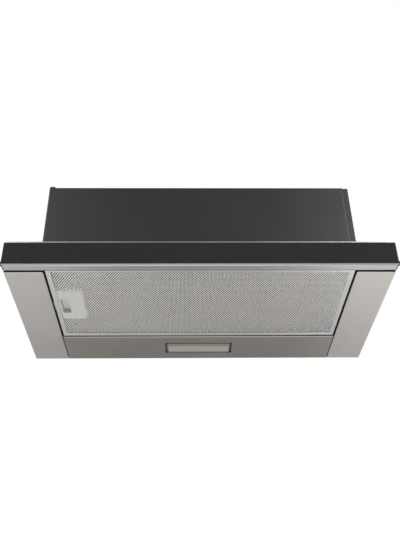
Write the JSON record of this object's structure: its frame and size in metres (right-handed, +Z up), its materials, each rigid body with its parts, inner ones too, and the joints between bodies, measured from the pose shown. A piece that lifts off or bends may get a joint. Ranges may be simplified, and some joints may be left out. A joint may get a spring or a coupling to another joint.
{
  "type": "built-in range hood",
  "caption": "Slide-out cooker hood for a wall cabinet: steel housing, glass-fronted visor on ball slides, hinged grease filter with a sprung latch, lamp, blower and duct collar.",
  "frame": {"origin": "middle of the footprint, on the underside", "axes": "+X to the right along the glass strip, +Y from the glass towards the wall, +Z up towards the duct"},
  "size_m": [0.604, 0.314, 0.213],
  "materials": {
    "housing_paint": "dark grey powder coat, fine texture",
    "trim_steel": "fine satin grain",
    "profile_steel": "satin, grain along the strip",
    "zinc_steel": "zinc plated, dull",
    "slide_steel": "bright zinc plated",
    "ball_steel": "polished",
    "motor_steel": "rolled steel can",
    "screw_steel": "zinc plated",
    "spring_steel": "drawn wire",
    "aluminium": "satin, rolled",
    "mesh_aluminium": "expanded metal, satin",
    "foil_aluminium": "thin expanded foil",
    "dark_glass": "polished, dark backed",
    "lamp_lens": "frosted, warm white",
    "led_board": "white lacquer",
    "black_plastic": "fine matte",
    "knob_plastic": "fine matte",
    "scroll_plastic": "moulded, matte",
    "impeller_plastic": "moulded, matte",
    "flap_plastic": "moulded, matte",
    "grey_plastic": "moulded, matte",
    "white_plastic": "moulded",
    "latch_plastic": "pale grey, satin",
    "bar_paint": "black paint, dull",
    "magnet_ferrite": "ferrite, dull dark grey",
    "rubber": "soft black"
  },
  "bodies": {
    "housing": {"front_panel": "housing_paint", "left_side_wall": "housing_paint", "right_side_wall": "housing_paint", "back_panel": "housing_paint", "top_panel": "housing_paint", "left_trim_panel": "trim_steel", "right_trim_panel": "trim_steel", "left_mount_channel": "zinc_steel", "right_mount_channel": "zinc_steel", "rear_lamp_panel": "trim_steel", "lamp_housing": "black_plastic", "led_board": "led_board", "lamp_lens": "lamp_lens", "left_outer_rail": "slide_steel", "right_outer_rail": "slide_steel", "intake_frame": "zinc_steel", "inner_filter_frame": "aluminium", "inner_filter_mesh": "mesh_aluminium", "scroll_left_half": "scroll_plastic", "scroll_right_half": "scroll_plastic", "fan_motor": "motor_steel", "motor_bracket": "zinc_steel", "motor_mounts": "rubber", "motor_capacitor": "white_plastic", "terminal_box": "grey_plastic", "terminal_box_lid": "grey_plastic", "terminal_block": "white_plastic", "cable_gland": "black_plastic", "duct_collar": "black_plastic", "housing_screws": "screw_steel", "blower_screws": "screw_steel", "visor_switch": "black_plastic"},
    "visor": {"front_profile": "profile_steel", "front_glass": "dark_glass", "left_end_cap": "black_plastic", "right_end_cap": "black_plastic", "left_drawer_rail": "zinc_steel", "right_drawer_rail": "zinc_steel", "drawer_front_bar": "bar_paint", "drawer_rear_bar": "zinc_steel", "left_inner_rail": "slide_steel", "right_inner_rail": "slide_steel", "control_block": "black_plastic", "switch_magnet": "magnet_ferrite"},
    "filter": {"filter_frame": "aluminium", "filter_mesh": "mesh_aluminium", "filter_foil": "foil_aluminium", "filter_back_mesh": "mesh_aluminium", "latch_plate": "latch_plastic", "latch_spring": "spring_steel"},
    "latch": {"latch_slider": "latch_plastic"},
    "left_cage": {"left_ball_cage": "ball_steel"},
    "right_cage": {"right_ball_cage": "ball_steel"},
    "fan_wheel": {"impeller": "impeller_plastic", "motor_shaft": "ball_steel"},
    "left_flap": {"left_flap": "flap_plastic"},
    "right_flap": {"right_flap": "flap_plastic"},
    "speed_control": {"speed_slider": "knob_plastic"},
    "lamp_control": {"lamp_slider": "knob_plastic"}
  },
  "joints": [
    {"name": "visor_slide", "type": "slide", "parent": "housing", "child": "visor", "axis": [0, -1, 0], "range_m": [0, 0.165]},
    {"name": "left_cage_slide", "type": "slide", "parent": "housing", "child": "left_cage", "axis": [0, -1, 0], "range_m": [0, 0.0825]},
    {"name": "right_cage_slide", "type": "slide", "parent": "housing", "child": "right_cage", "axis": [0, -1, 0], "range_m": [0, 0.0825]},
    {"name": "filter_swing", "type": "hinge", "parent": "visor", "child": "filter", "pos_m": [0.23152, -0.03485, 0.00575], "axis": [0, -1, 0], "range_deg": [0, 75]},
    {"name": "filter_latch", "type": "slide", "parent": "filter", "child": "latch", "axis": [1, 0, 0], "range_m": [0, 0.004], "stiffness_N_per_m": 300, "springref_m": -0.003, "deforming": ["latch_spring"]},
    {"name": "impeller_spin", "type": "hinge", "parent": "housing", "child": "fan_wheel", "pos_m": [0, -0.02118, 0.11129], "axis": [1, 0, 0], "continuous": true},
    {"name": "left_flap_swing", "type": "hinge", "parent": "housing", "child": "left_flap", "pos_m": [-0.003, 0.0173, 0.186], "axis": [0, 1, 0], "range_deg": [0, 80]},
    {"name": "right_flap_swing", "type": "hinge", "parent": "housing", "child": "right_flap", "pos_m": [0.003, 0.0173, 0.186], "axis": [0, -1, 0], "range_deg": [0, 80]},
    {"name": "speed_slide", "type": "slide", "parent": "visor", "child": "speed_control", "axis": [1, 0, 0], "range_m": [0, 0.024]},
    {"name": "lamp_slide", "type": "slide", "parent": "visor", "child": "lamp_control", "axis": [1, 0, 0], "range_m": [0, 0.008]}
  ],
  "couplings": [
    {"joint": "left_cage_slide", "follows": "visor_slide", "ratio": 0.5},
    {"joint": "right_cage_slide", "follows": "visor_slide", "ratio": 0.5}
  ]
}
